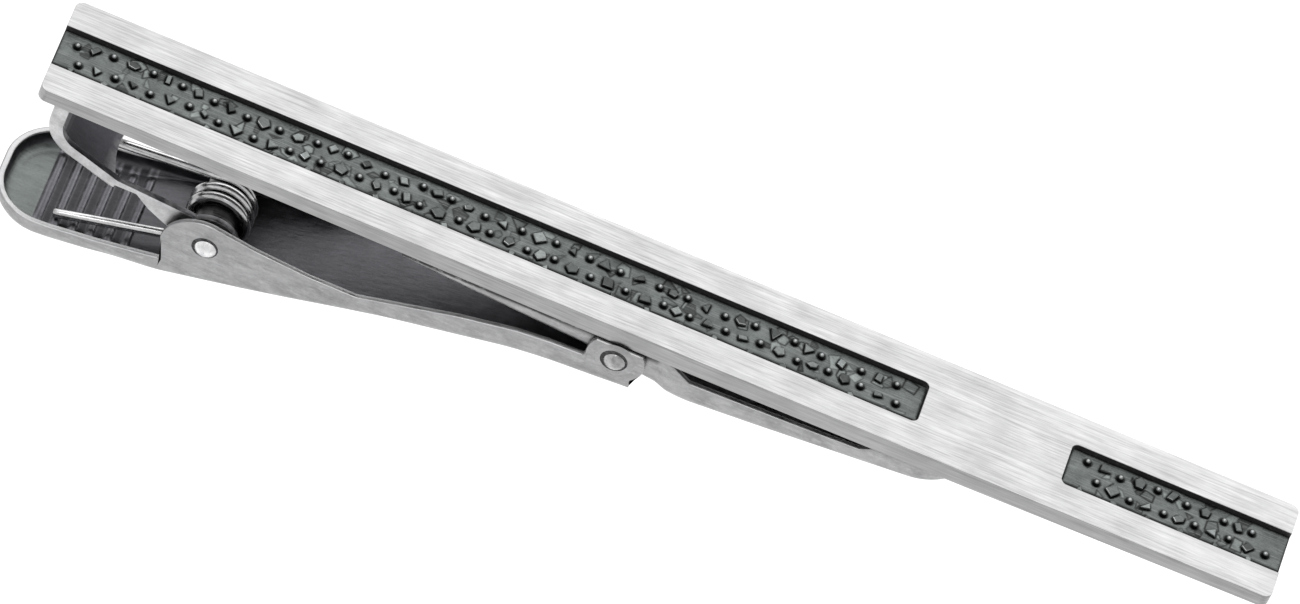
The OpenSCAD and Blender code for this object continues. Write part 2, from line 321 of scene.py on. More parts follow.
def attribute(tree, name):
    return add(tree, "Attribute", attribute_name=name).outputs["Fac"]


# ---------------------------------------------------------------- materials


def brushed_bar_material():
    """Fine straight brushing along the bar, with slow changes of tone."""
    material, tree = new_material("brushed_bar")
    fine = noise(tree, (0.4, 12, 12), 4.0, 0.7)
    broad = noise(tree, (0.14, 3.4, 3.4), 3.0, 0.6)
    cloud = noise(tree, (0.5, 0.7, 0.7), 3.0)
    tone = product(
        tree,
        remap(tree, fine, 0.34, 0.66, 0.74, 1.2),
        remap(tree, broad, 0.3, 0.7, 0.86, 1.12),
        remap(tree, cloud, 0.32, 0.68, 0.86, 1.1),
    )
    colour = scaled(tree, (0.335, 0.335, 0.336), tone)
    colour = mix(tree, maths(tree, "MULTIPLY", edge_wear(tree), 0.3), colour, (0.5, 0.5, 0.5, 1))
    finish_material(tree, colour, remap(tree, broad, 0.3, 0.7, 0.28, 0.42), fine, 0.008)
    return material


def recess_shade_material():
    """Painted shade on the recess walls, near black, with a little dust in it."""
    material, tree = new_material("recess_shade")
    dust = noise(tree, (6, 9, 9), 3.0)
    colour = mix(tree, remap(tree, dust, 0.55, 0.75, 0, 1), (0.006, 0.006, 0.006, 1), (0.03, 0.031, 0.03, 1))
    finish_material(tree, colour, 0.6, dust, 0.01, metallic=0.0)
    return material


def scratches(tree):
    """Hair scratches that cross at several angles, 0 to 1."""
    total = None
    for angle, width in ((0.4, 16), (-0.7, 20), (1.25, 18), (2.3, 24)):
        line = remap(tree, noise(tree, (0.5, width, 1), 1.0, turn=(0, 0, angle)), 0.62, 0.74, 0, 1)
        total = line if total is None else maths(tree, "MAXIMUM", total, line)
    return total


def dark_inlay_material():
    """Dark grey-green metal, matte and finely scratched, with painted shade, near black, in the moats round
    the relief.
    """
    material, tree = new_material("dark_inlay")
    cloud = noise(tree, (1.3, 1.7, 1.7), 4.0, 0.6)
    grain = noise(tree, (11, 13, 13), 3.0, 0.65)
    tone = product(
        tree,
        remap(tree, cloud, 0.3, 0.7, 0.68, 1.3),
        remap(tree, grain, 0.3, 0.7, 0.7, 1.3),
        attribute(tree, "tone"),
    )
    colour = scaled(tree, (0.09, 0.1, 0.097), tone)
    colour = mix(tree, maths(tree, "MULTIPLY", scratches(tree), 0.55), colour, (0.2, 0.21, 0.21, 1))
    # Painted shade: near black where the moat attribute marks the moats and outline grooves
    colour = mix(tree, attribute(tree, "moat"), colour, (0.004, 0.004, 0.004, 1))
    finish_material(tree, colour, remap(tree, grain, 0.3, 0.7, 0.42, 0.62), grain, 0.02, metallic=0.75)
    return material


def bead_material():
    """The same dark metal, with painted light on the top of each bead and painted shade, near black, down
    its sides.
    """
    material, tree = new_material("bead_metal")
    normal = add(tree, "SeparateXYZ", {0: add(tree, "NewGeometry").outputs["Normal"]})
    # Painted light: beads are lighter where they face up, near black where they face sideways
    top = remap(tree, normal.outputs["Z"], 0.45, 0.98, 0.0, 1.0)
    grain = noise(tree, (9, 9, 9), 2.0)
    colour = mix(
        tree,
        maths(tree, "MULTIPLY", top, remap(tree, grain, 0.3, 0.7, 0.75, 1.0)),
        (0.012, 0.013, 0.013, 1),
        (0.3, 0.31, 0.31, 1),
    )
    finish_material(tree, colour, 0.3, grain, 0.006, metallic=0.9)
    return material


def flake_material():
    """Dark chips, each of its own tone, with painted highlights on part of their edges."""
    material, tree = new_material("flake_metal")
    grain = noise(tree, (7, 15, 15), 3.0, 0.6, turn=(0, 0, 0.5))
    tone = maths(
        tree, "MULTIPLY", attribute(tree, "tone"), remap(tree, grain, 0.3, 0.7, 0.75, 1.25)
    )
    colour = scaled(tree, (0.088, 0.096, 0.094), tone)
    # The rim mark on the flakes is a painted highlight on the bevel
    colour = mix(tree, attribute(tree, "rim"), colour, (0.5, 0.51, 0.51, 1))
    finish_material(tree, colour, 0.36, grain, 0.01, metallic=0.85)
    return material


def pressed_material(name, base, shaded_inside_base, cup_base):
    """Tumbled sheet steel: satin, mottled, brighter along its worn edges, and darkened inside as painted
    shade, with a greenish patina on the cup's floor.
    """
    material, tree = new_material(name)
    streak = noise(tree, (0.5, 5, 5), 3.0, 0.6)
    mottle = noise(tree, (0.9, 1.5, 1.5), 5.0, 0.65)
    speck = noise(tree, (8, 14, 14), 2.0, 0.6)
    tone = product(
        tree,
        remap(tree, mottle, 0.3, 0.7, 0.74, 1.2),
        remap(tree, streak, 0.3, 0.7, 0.88, 1.12),
        remap(tree, speck, 0.35, 0.65, 0.93, 1.07),
        attribute(tree, "tone"),
    )
    # Painted shade: the inside of the channel is darkened; the cup's floor also gets a greenish patina tone
    inside = mix(tree, attribute(tree, "cup"), shaded_inside_base, cup_base)
    colour = scaled(tree, mix(tree, attribute(tree, "inside"), base, inside), tone)
    smear = noise(tree, (1.3, 3.4, 3.4), 4.0, 0.7, turn=(0, 0.2, 0))
    scuff = remap(tree, smear, 0.54, 0.7, 0.0, 0.6)
    outside = maths(tree, "SUBTRACT", 1.0, attribute(tree, "inside"))
    colour = mix(tree, maths(tree, "MULTIPLY", scuff, outside), colour, (0.52, 0.52, 0.525, 1))
    rubbed = maths(tree, "MULTIPLY", attribute(tree, "rim"), remap(tree, mottle, 0.3, 0.65, 0.25, 0.8))
    colour = mix(tree, rubbed, colour, (0.42, 0.42, 0.425, 1))
    rough = remap(tree, mottle, 0.3, 0.7, 0.32, 0.52)
    finish_material(tree, colour, rough, maths(tree, "ADD", streak, mottle), 0.012)
    return material


def bracket_material():
    """Pressed steel of the bracket, with painted shade on faces that look up at the bar, lighter in a ragged
    band towards its web's free end.
    """
    material, tree = new_material("bracket_steel")
    mottle = noise(tree, (1.2, 1.5, 1.5), 4.0, 0.62)
    speck = noise(tree, (10, 12, 12), 2.0, 0.6)
    facing = add(tree, "SeparateXYZ", {0: add(tree, "NewGeometry").outputs["True Normal"]}).outputs
    side = maths(tree, "ABSOLUTE", facing["Y"])
    along = add(tree, "SeparateXYZ", {0: add(tree, "TexCoord").outputs["Object"]}).outputs["X"]
    free_end_ramp = remap(tree, along, -25.3 * MM, -24.7 * MM, 0.0, 0.55)
    tone = product(
        tree,
        remap(tree, mottle, 0.3, 0.7, 0.72, 1.25),
        remap(tree, speck, 0.35, 0.65, 0.93, 1.07),
    )
    # Painted shade: faces that look up at the bar's back, and not sideways, are near black
    shade_under_bar = product(tree, remap(tree, facing["Z"], 0.3, 0.8, 0, 1), remap(tree, side, 0.2, 0.6, 1, 0))
    colour = mix(tree, shade_under_bar, (0.5, 0.5, 0.507, 1), (0.05, 0.05, 0.056, 1))
    lighter_end = product(tree, free_end_ramp, shade_under_bar, remap(tree, mottle, 0.4, 0.55, 0.2, 1))
    colour = mix(tree, lighter_end, scaled(tree, colour, tone), (0.3, 0.3, 0.305, 1))
    finish_material(tree, colour, remap(tree, mottle, 0.3, 0.7, 0.3, 0.48), mottle, 0.01)
    return material


def solder_material():
    """Dull wiped solder with small pits."""
    material, tree = new_material("solder")
    lumps = noise(tree, (2.2, 2.2, 2.2), 4.0, 0.6)
    colour = mix(tree, remap(tree, lumps, 0.3, 0.7, 0, 1), (0.24, 0.24, 0.25, 1), (0.46, 0.46, 0.47, 1))
    finish_material(tree, colour, remap(tree, lumps, 0.3, 0.7, 0.35, 0.6), lumps, 0.05)
    return material


def rivet_material(name, low, high):
    """Rivet steel, rubbed in small flats, between two tones."""
    material, tree = new_material(name)
    lumps = noise(tree, (2.5, 2.5, 2.5), 3.0, 0.6)
    fine = noise(tree, (12, 12, 12), 2.0)
    dark, light = (low, low, low * 1.02, 1), (high, high, high * 1.01, 1)
    colour = mix(tree, remap(tree, lumps, 0.3, 0.65, 0, 1), dark, light)
    finish_material(tree, colour, remap(tree, fine, 0.3, 0.7, 0.16, 0.3), lumps, 0.03)
    return material


def wire_material():
    """Bright spring wire, a little clouded and specked."""
    material, tree = new_material("spring_wire")
    blur = noise(tree, (0.8, 1.6, 1.6), 3.0, 0.6)
    speck = noise(tree, (9, 9, 9), 2.0, 0.6)
    colour = mix(tree, remap(tree, blur, 0.3, 0.7, 0, 1), (0.36, 0.36, 0.366, 1), (0.62, 0.62, 0.625, 1))
    colour = scaled(tree, colour, remap(tree, speck, 0.3, 0.7, 0.9, 1.1))
    finish_material(tree, colour, remap(tree, speck, 0.3, 0.7, 0.16, 0.26), blur, 0.01)
    return material


def sleeve_material():
    """The plain sleeve inside the coil: near black, with lighter bands round its girth as painted glints."""
    material, tree = new_material("sleeve_steel")
    rings = noise(tree, (0.8, 12, 0.8), 3.0, 0.6)
    # Painted glints: lighter bands round the sleeve's girth
    colour = mix(tree, remap(tree, rings, 0.35, 0.7, 0, 1), (0.05, 0.05, 0.053, 1), (0.14, 0.135, 0.135, 1))
    finish_material(tree, colour, remap(tree, rings, 0.3, 0.7, 0.25, 0.4), rings, 0.01)
    return material


def shadow_ring_material():
    """Painted shadow round a rivet head, near black and mottled."""
    material, tree = new_material("rivet_shadow_ring")
    dirt = noise(tree, (8, 8, 8), 3.0)
    colour = mix(tree, remap(tree, dirt, 0.4, 0.75, 0, 1), (0.012, 0.012, 0.013, 1), (0.09, 0.09, 0.095, 1))
    finish_material(tree, colour, 0.55, dirt, 0.01, metallic=0.4)
    return material


BRUSHED = brushed_bar_material()
RECESS_SHADE = recess_shade_material()
INLAY = dark_inlay_material()
BEAD = bead_material()
FLAKE = flake_material()
LEVER_STEEL = pressed_material(
    "lever_steel", (0.345, 0.345, 0.35, 1), (0.078, 0.078, 0.084, 1), (0.12, 0.132, 0.127, 1)
)
JAW_STEEL = pressed_material(
    "jaw_steel", (0.37, 0.37, 0.375, 1), (0.15, 0.15, 0.155, 1), (0.15, 0.15, 0.155, 1)
)
BRACKET_STEEL = bracket_material()
SOLDER = solder_material()
BRIGHT_RIVET = rivet_material("bright_rivet", 0.5, 0.86)
# Painted shade: the jaw's rivet gets a darker copy of the rivet steel
SHADED_RIVET = rivet_material("shaded_rivet", 0.2, 0.5)
WIRE = wire_material()
SLEEVE = sleeve_material()
SHADOW_RING = shadow_ring_material()

# ---------------------------------------------------------------- front bar

RECESS_HALF = 1.2
BAR_EDGE = 0.07
RECESS_EDGE = 0.03
RECESS_DEEP = 0.51


def make_bar():
    """The bar, with its edges broken and painted shade, near black, on the recess walls."""
    work = cad_copy("front_bar")

    def in_recess(point):
        return abs(point.y) < (RECESS_HALF + 0.03) * MM and point.z > -(RECESS_DEEP + 0.01) * MM

    rim = [
        e
        for e in work.edges
        if is_sharp(e) and all(in_recess(v.co) and abs(v.co.z) < 1e-6 for v in e.verts)
    ]
    bevel(work, rim, RECESS_EDGE, 2)
    outer = [
        e
        for e in work.edges
        if is_sharp(e, 50) and not all(in_recess(v.co) for v in e.verts)
    ]
    bevel(work, outer, BAR_EDGE, 3)
    # Faces of the recess walls take the near-black painted shade
    for face in work.faces:
        centre = face.calc_center_median()
        if abs(centre.y) < (RECESS_HALF + 0.005) * MM and -RECESS_DEEP * MM < centre.z < -0.04 * MM:
            if abs(centre.x) < (BAR_HIGH[0] - 0.1) * MM:
                face.material_index = 1
    from_bmesh("bar_body", work, "bar", "front_bar", [BRUSHED, RECESS_SHADE])


# ---------------------------------------------------------------- inlays

INLAY_STEP = 0.045
MOAT_WIDTH = 0.085
MOAT_DEPTH = 0.07
# From this y to the near wall of its recess the inlay sinks as deep as a moat, with painted shadow, near
# black, on it
TROUGH_Y = -0.9
# The inlay's worn surface lies this far below the top of its CAD node
WORN_DROP = 0.03
WAVE_HEIGHT = 0.01
LINE_WIDTH = 0.048
LINE_DEPTH = 0.02
GHOSTS_PER_MM = 2.6
GHOST_TONES = [0.35, 0.6, 0.8, 1.5, 1.9]
GHOST_REACH = 0.7


def outline_of(points):
    """The upper outline of one flake, as corners in order round its middle."""
    top = points[points[:, 2] > points[:, 2].max() - 0.01][:, :2]
    middle = top.mean(0)
    angles = np.arctan2(top[:, 1] - middle[1], top[:, 0] - middle[0])
    return top[np.argsort(angles)]


def distance_outside(x, y, outline):
    """Distance from each grid point to a polygon, negative inside it."""
    best = np.full(x.shape, 1e9)
    inside = np.ones(x.shape, bool)
    for a, b in zip(outline, np.roll(outline, -1, axis=0)):
        edge = b - a
        length = max(edge @ edge, 1e-12)
        t = np.clip(((x - a[0]) * edge[0] + (y - a[1]) * edge[1]) / length, 0, 1)
        best = np.minimum(best, np.hypot(x - a[0] - t * edge[0], y - a[1] - t * edge[1]))
        inside &= (edge[0] * (y - a[1]) - edge[1] * (x - a[0])) > 0
    return np.where(inside, -best, best)


def waves(x, y, seed, count=22):
    """A gentle uneven surface about zero, with most of it between -1.5 and 1.5."""
    rng = np.random.default_rng(seed)
    total = np.zeros(x.shape)
    for _ in range(count):
        k = rng.uniform(1.5, 9.0)
        a = rng.uniform(0, 2 * math.pi)
        total += np.sin(k * (x * math.cos(a) + y * math.sin(a)) + rng.uniform(0, 6.28)) / count**0.5
    return total


def ghost_chips(x, y, xs, near, seed):
    """Low, worn-down chips between the flakes: their tone, their rise, and their outline."""
    rng = np.random.default_rng(seed + 100)
    tone, shift, line = np.ones(x.shape), np.zeros(x.shape), np.zeros(x.shape)
    for _ in range(int((xs[-1] - xs[0]) * GHOSTS_PER_MM)):
        middle = np.array([rng.uniform(xs[0], xs[-1]), rng.uniform(y.min() + 0.2, y.max() - 0.2)])
        turn, long, wide = rng.uniform(0, math.pi), rng.uniform(0.2, 0.5), rng.uniform(0.4, 1.0)
        corners = rng.integers(3, 6)
        angles = 2 * math.pi * (np.arange(corners) + rng.uniform(-0.25, 0.25, corners)) / corners
        flat = np.stack([long * np.cos(angles), long * wide * np.sin(angles)], -1)
        spin = np.array([[math.cos(turn), -math.sin(turn)], [math.sin(turn), math.cos(turn)]])
        c0, c1 = np.searchsorted(xs, [middle[0] - GHOST_REACH, middle[0] + GHOST_REACH])
        part = (slice(None), slice(c0, c1))
        away = distance_outside(x[part], y[part], middle + flat @ spin.T)
        inside = smoothstep(0.5 - away / 0.04)
        clear = smoothstep((near[part] - 0.03) / 0.05)
        tone[part] = tone[part] * (1 - inside) + inside * rng.choice(GHOST_TONES)
        shift[part] = shift[part] * (1 - inside) + inside * rng.uniform(-0.012, 0.012)
        mark = np.exp(-((away / LINE_WIDTH) ** 2)) * clear * rng.uniform(0.55, 1.0)
        line[part] = np.maximum(line[part] * (1 - inside * 0.9), mark)
    return tone, shift, line


def make_inlay(node, beads, flakes, seed):
    """The inlay's floor as a fine height field, sunk in a moat round each bead and flake, with painted shade
    in the moats.
    """
    low, high = box_mm(node)
    columns = int((high[0] - low[0]) / INLAY_STEP) + 1
    rows = int((high[1] - low[1]) / INLAY_STEP) + 1
    xs = np.linspace(low[0], high[0], columns)
    ys = np.linspace(low[1], high[1], rows)
    y, x = np.meshgrid(ys, xs, indexing="ij")
    near = np.full(x.shape, 1e9)
    for group in beads:
        c = (group.min(0) + group.max(0)) / 2
        r = (group.max(0) - group.min(0))[0] / 2
        near = np.minimum(near, np.hypot(x - c[0], y - c[1]) - r)
    for group in flakes:
        a, b = group.min(0) - 0.4, group.max(0) + 0.4
        c0, c1 = np.searchsorted(xs, [a[0], b[0]])
        part = (slice(None), slice(c0, c1))
        near[part] = np.minimum(
            near[part], distance_outside(x[part], y[part], outline_of(group)) + 0.01
        )
    tone, shift, line = ghost_chips(x, y, xs, near, seed)
    near = np.minimum(near, (high[1] - y) * 2)
    near = np.minimum(near, (y - TROUGH_Y) * 0.9)
    near = np.minimum(near, np.minimum(x - low[0], high[0] - x) + 0.02)
    moat = np.exp(-((np.maximum(near, 0) / MOAT_WIDTH) ** 2))
    z = high[2] - WORN_DROP + WAVE_HEIGHT * waves(x, y, seed) + shift
    z = z - LINE_DEPTH * line - MOAT_DEPTH * moat
    z = np.minimum(z, high[2])
    # Painted shade for the moats, the recess edges and the ghost chips' outline grooves
    dark = smoothstep(np.maximum(moat, 0.85 * line).ravel() * 1.2 - 0.08)
    points = np.stack([x, y, z], -1).reshape(-1, 3)
    piece(
        node + "_field",
        points,
        grid_faces(rows, columns),
        "bar",
        [INLAY],
        {"moat": dark, "tone": tone.ravel()},
        [node],
    )


BEAD_RINGS, BEAD_SIDES = 6, 20
BEAD_NECK = 0.06


def make_beads(node, groups):
    """Each bead is a round dome on a short neck that runs down into its moat."""
    points, faces = [], []
    arcs = np.linspace(0, math.pi / 2 * 0.97, BEAD_RINGS)
    levels = [(1.0, -BEAD_NECK)] + [(math.cos(a), math.sin(a)) for a in arcs]
    for group in groups:
        low, high = group.min(0), group.max(0)
        centre, radius = (low + high) / 2, (high[0] - low[0]) / 2
        start = len(points)
        for across, up in levels:
            for k in range(BEAD_SIDES):
                a = 2 * math.pi * k / BEAD_SIDES
                points.append(
                    (
                        centre[0] + radius * across * math.cos(a),
                        centre[1] + radius * across * math.sin(a),
                        low[2] + (radius * up if up > 0 else up),
                    )
                )
        faces += ring_faces(len(levels), BEAD_SIDES, start)
        faces.append([start + (len(levels) - 1) * BEAD_SIDES + k for k in range(BEAD_SIDES)])
    piece(node + "_domes", points, faces, "bar", [BEAD], None, [node], sharp=60)


FLAKE_TILT = 0.09
FLAKE_BEVEL = 0.028
FLAKE_TONES = [0.45, 0.7, 1.0, 1.35, 1.8]
# Each ring of a flake: its scale (None: inside the bevel) and its drop (None: down to the foot)
FLAKE_RINGS = ((1.0, None), (1.0, 0.022), (None, 0.0))
FLAKE_FOOT = 0.07


def make_flakes(node, groups, seed):
    """Each flake is a chip with a tilted top and a narrow worn bevel round it."""
    rng = np.random.default_rng(seed)
    points, faces, tones, rims = [], [], [], []
    for group in groups:
        outline = outline_of(group)
        top_z, base_z = group[:, 2].max(), group[:, 2].min()
        middle = outline.mean(0)
        size = np.hypot(*(outline - middle).T).max()
        lean = rng.uniform(0, 2 * math.pi)
        tilt = rng.uniform(0.2, 1.0) * FLAKE_TILT
        tone = rng.choice(FLAKE_TONES)
        strong_glint = rng.random() < 0.4
        start, n = len(points), len(outline)
        shrink = max(0.0, 1 - FLAKE_BEVEL / max(size * 0.6, 0.05))
        lean_vector = np.array([math.cos(lean), math.sin(lean)])
        for ring, (scale, drop) in enumerate(FLAKE_RINGS):
            for corner in outline:
                flat = middle + (corner - middle) * (scale or shrink)
                side = float((flat - middle) @ lean_vector) / size
                surface = top_z - tilt * (1 - side) / 2 * 0.9
                z = base_z - FLAKE_FOOT if drop is None else surface - drop
                points.append((flat[0], flat[1], z))
                # Painted shade: the foot ring, down in the moat, is near black. Painted highlight: the bevel
                # on a flake's raised side is lit, strongly on some flakes
                tones.append(0.03 if ring == 0 else tone)
                rims.append((0.85 if strong_glint else 0.25) * (side > 0.1) if ring == 1 else 0.0)
        faces += ring_faces(len(FLAKE_RINGS), n, start)
        faces.append([start + (len(FLAKE_RINGS) - 1) * n + k for k in range(n)])
    piece(
        node + "_chips",
        points,
        faces,
        "bar",
        [FLAKE],
        {"tone": tones, "rim": rims},
        [node],
        sharp=20,
    )


# ---------------------------------------------------------------- pressed channels

RIM_ROUND = 0.07
# The floor is drawn this many times as thick as the sheet
FLOOR_GAIN = 1.03
WALL_STEPS, BEND_STEPS, FLOOR_STEPS = 6, 7, 16


def dense(points, step):
    """A polyline with no segment longer than step in its first number."""
    out = [points[0]]
    for a, b in zip(points, points[1:]):
        length = max(abs(b[0] - a[0]), abs(b[1] - a[1]), abs(b[2] - a[2]))
        n = max(1, math.ceil(length / step))
        out += [tuple(np.array(a) + (np.array(b) - np.array(a)) * i / n) for i in range(1, n + 1)]
    return out


def rim_height(x, line):
    """Height of a rim at x, from its (x, z) corners."""
    xs, zs = zip(*sorted(line))
    return float(np.interp(x, xs, zs))


def channel(rim, under, half, end, pole_x, bend, lift):
    """One sheet bent up along both sides and round one end.

    rim lists (x on the floor, x on top, z on top) from the open end. end is (tip x, corner
    radius, half of the flat between the corners, corners of the rim round the end). Returns
    points, faces and vertex marks.
    """
    tip_x, corner_r, flat, end_rim = end
    way = 1 if tip_x > rim[0][0] else -1
    corner_x = tip_x - way * corner_r
    tops = np.array([(r[1], r[2]) for r in rim])
    run = np.gradient(tops, axis=0)
    run /= np.maximum(np.linalg.norm(run, axis=1), 1e-9)[:, None]
    stations = []
    for (x_floor, x_top, z_top), t in zip(rim, run):
        outward = np.array([-way * t[1], 0.0, way * t[0]])
        stations.append(
            (
                np.array([x_floor, half(x_floor)]),
                np.array([x_top, half(x_top)]),
                np.array([0.0, 1.0]),
                z_top,
                outward,
            )
        )
    upward = np.array([0, 0, 1.0])
    for a in np.radians(np.linspace(90, 0, 37)[1:]):
        around = np.array([way * math.cos(a), math.sin(a)])
        spot = np.array([corner_x, flat]) + corner_r * around
        stations.append((spot, spot, around, rim_height(spot[0], end_rim), upward))
    for y in np.linspace(flat, 0, 5)[1:]:
        spot = np.array([tip_x, y])
        stations.append((spot, spot, np.array([way, 0.0]), rim_height(spot[0], end_rim), upward))

    def section(station):
        foot, top, out, z_top, up = station
        radius = bend(foot[0])
        knee = foot - out * radius
        target = np.array([knee[0] if way * (knee[0] - pole_x) < 0 else pole_x, 0.0])
        floor_z = under(knee[0])
        wall_low = floor_z + radius
        rounding = min(RIM_ROUND, max(0.0, 0.4 * np.hypot(z_top - wall_low, top[0] - foot[0])))
        line, marks = [], []
        for inner in (False, True):
            inset = SHEET if inner else 0.0
            part, part_marks = [], []
            for i in range(FLOOR_STEPS):
                spot = target + (knee - target) * i / FLOOR_STEPS
                z = under(spot[0]) + inset * FLOOR_GAIN
                if inner:
                    z += lift(spot[0]) * float(smoothstep((1 - i / FLOOR_STEPS) * 8))
                part.append((*spot, z))
                part_marks.append((float(inner), 0.0))
            for i in range(BEND_STEPS + 1):
                a = math.pi / 2 * i / BEND_STEPS
                reach = radius - (radius - inset) * math.sin(a)
                part.append((*(foot - out * reach), floor_z + radius - (radius - inset) * math.cos(a)))
                part_marks.append((float(inner), 0.0))
            low_spot = np.array([*(foot - out * inset), wall_low])
            rim_spot = np.array([*(top - out * inset), z_top]) - up * rounding
            for i in range(1, WALL_STEPS + 1):
                part.append(tuple(low_spot + (rim_spot - low_spot) * i / WALL_STEPS))
                part_marks.append((float(inner), float(i == WALL_STEPS) * 0.5))
            for i in (1, 2):
                a = math.pi / 4 * i
                slide = rounding * (1 - math.cos(a))
                reach = inset - slide if inner else slide
                spot = np.array([*(top - out * reach), z_top]) - up * rounding * (1 - math.sin(a))
                part.append(tuple(spot))
                part_marks.append((0.0, 1.0))
            if inner:
                part.reverse()
                part_marks.reverse()
            line += part
            marks += part_marks
        return line, marks

    points, faces, inside, rims = [], [], [], []
    sections = [section(s) for s in stations]
    width = len(sections[0][0])
    for mirror in (1, -1):
        start = len(points)
        for line, marks in sections:
            points += [(x, mirror * y, z) for x, y, z in line]
            inside += [m[0] * (abs(spot[0] - rim[0][0]) > 0.01) for spot, m in zip(line, marks)]
            rims += [m[1] for m in marks]
        faces += grid_faces(len(sections), width, start)
        for c in range(width // 2 - 1):
            faces.append((start + c, start + c + 1, start + width - 2 - c, start + width - 1 - c))
    return points, faces, inside, rims


# ---------------------------------------------------------------- lever

BOSS_R, BOSS_H = 0.9, 0.06
LEVER_HALF = LEVER_HIGH[1] - BOSS_H
CUP_CORNER = 2.45
LEVER_UNDER = np.array([
    [-29.45, -9.45], [-26.6, -9.35], [-24.3, -8.98], [-21.4, -8.27], [-17.6, -7.24],
    [-15.5, -6.62], [-13.7, -6.05], [-11.4, -5.36], [-8.3, -4.61], [-5.8, -4.0],
    [-4.2, -3.77], [-1.5, -3.58], [-0.33, -3.47]])
LEVER_RIM = [
    (-2.75, -2.4), (-4.25, -2.46), (-5.8, -2.65), (-8.4, -3.27), (-11.4, -4.22),
    (-12.8, -4.66), (-15, -4.66), (-17.7, -4.42)]
CUP_RIM = [(-21.4, -7.27), (-22.3, -7.47), (-24.3, -7.87), (-26.5, -8.2), (-29.45, -8.42)]
LEVER_END_X = -0.33
EAR_CENTRE, EAR_R = (-19.9, -5.9), 1.85
JAW_EAR_R, JAW_EAR_FLAT = 1.35, 36
RIB_X, RIB_PITCH, RIB_COUNT, RIB_HALF, RIB_H = -27.08, 0.8, 6, 0.24, 0.13
# Painted light on the ribs: highlights on their shoulders and tops, painted shade in the grooves
RIB_EDGE_HIGHLIGHT, RIB_TOP_HIGHLIGHT, RIB_SHADE = 1.8, 0.5, 0.5
RIB_EDGE, RIB_EDGE_WIDTH, RIB_TOP = 0.15, 0.07, 0.1
POLE_X = -27.42
LEVER_BEND, CUP_BEND_MORE = 0.42, 0.4
# Where the big ears end on the floor, and where the cup's own rim takes over
EAR_FOOT_X, CUP_RIM_X = -21.34, -21.45


def arc_points(centre, radius, first, last, count):
    """(x, z) points of an arc, with its angles in degrees."""
    return [
        (centre[0] + radius * math.cos(a), centre[1] + radius * math.sin(a))
        for a in map(math.radians, np.linspace(first, last, count))
    ]


def lever_under(x):
    """Underside of the lever, rounded a little where its straight runs meet."""
    return float(np.mean([np.interp(x + d, *LEVER_UNDER.T) for d in (-0.5, -0.25, 0, 0.25, 0.5)]))


def lever_bend(x):
    """Radius of the bend between floor and walls, wider in the cup."""
    return LEVER_BEND + CUP_BEND_MORE * float(smoothstep((-21 - x) / 3))


def lever_lift(x):
    """Height of the pressed grip ribs above the cup's floor."""
    total = 0.0
    for i in range(RIB_COUNT):
        inward = RIB_HALF - abs(x - RIB_X - i * RIB_PITCH)
        total = max(total, RIB_H * float(smoothstep(inward / 0.15)))
    return total


def lever_rim():
    """(x on the floor, x on top, z on top) from the jaw end to the cup's corner."""
    x1 = LEVER_END_X
    low = lever_under(x1) + lever_bend(x1)
    pivot = (JAW_PIVOT[0], JAW_PIVOT[2])
    ear = arc_points(pivot, JAW_EAR_R, -41, JAW_EAR_FLAT, 14)
    rows = [(x1, x1, z) for z in np.linspace(low, ear[0][1], 5)]
    rows += [(x1, *p) for p in ear[1:]]
    left = arc_points(pivot, JAW_EAR_R, 180 - JAW_EAR_FLAT, 195, 9)
    flat_n = 12
    for i in range(1, flat_n + 1):
        t = i / flat_n
        rows.append((x1 + (left[0][0] - x1) * t, ear[-1][0] + (left[0][0] - ear[-1][0]) * t, left[0][1]))
    rows += [(left[0][0] - 0.004 * i, x, z) for i, (x, z) in enumerate(left[1:], 1)]
    line = [(left[0][0] - 0.04, left[-1][0] - 0.02, left[-1][1])] + [(x, x, z) for x, z in LEVER_RIM]
    rows += dense(line, 0.25)
    big = arc_points(EAR_CENTRE, EAR_R, 75, 180, 28)
    floor_x = np.linspace(big[0][0], EAR_FOOT_X, len(big))
    rows += [(fx, *p) for fx, p in zip(floor_x, big)]
    rows += dense([(EAR_FOOT_X, *big[-1]), (CUP_RIM[0][0], *CUP_RIM[0])], 0.12)[1:]
    corner = LEVER_LOW[0] + CUP_CORNER
    rows += [(x, x, rim_height(x, CUP_RIM)) for x in np.arange(CUP_RIM_X, corner, -0.05)]
    return [tuple(float(v) for v in r) for r in rows]


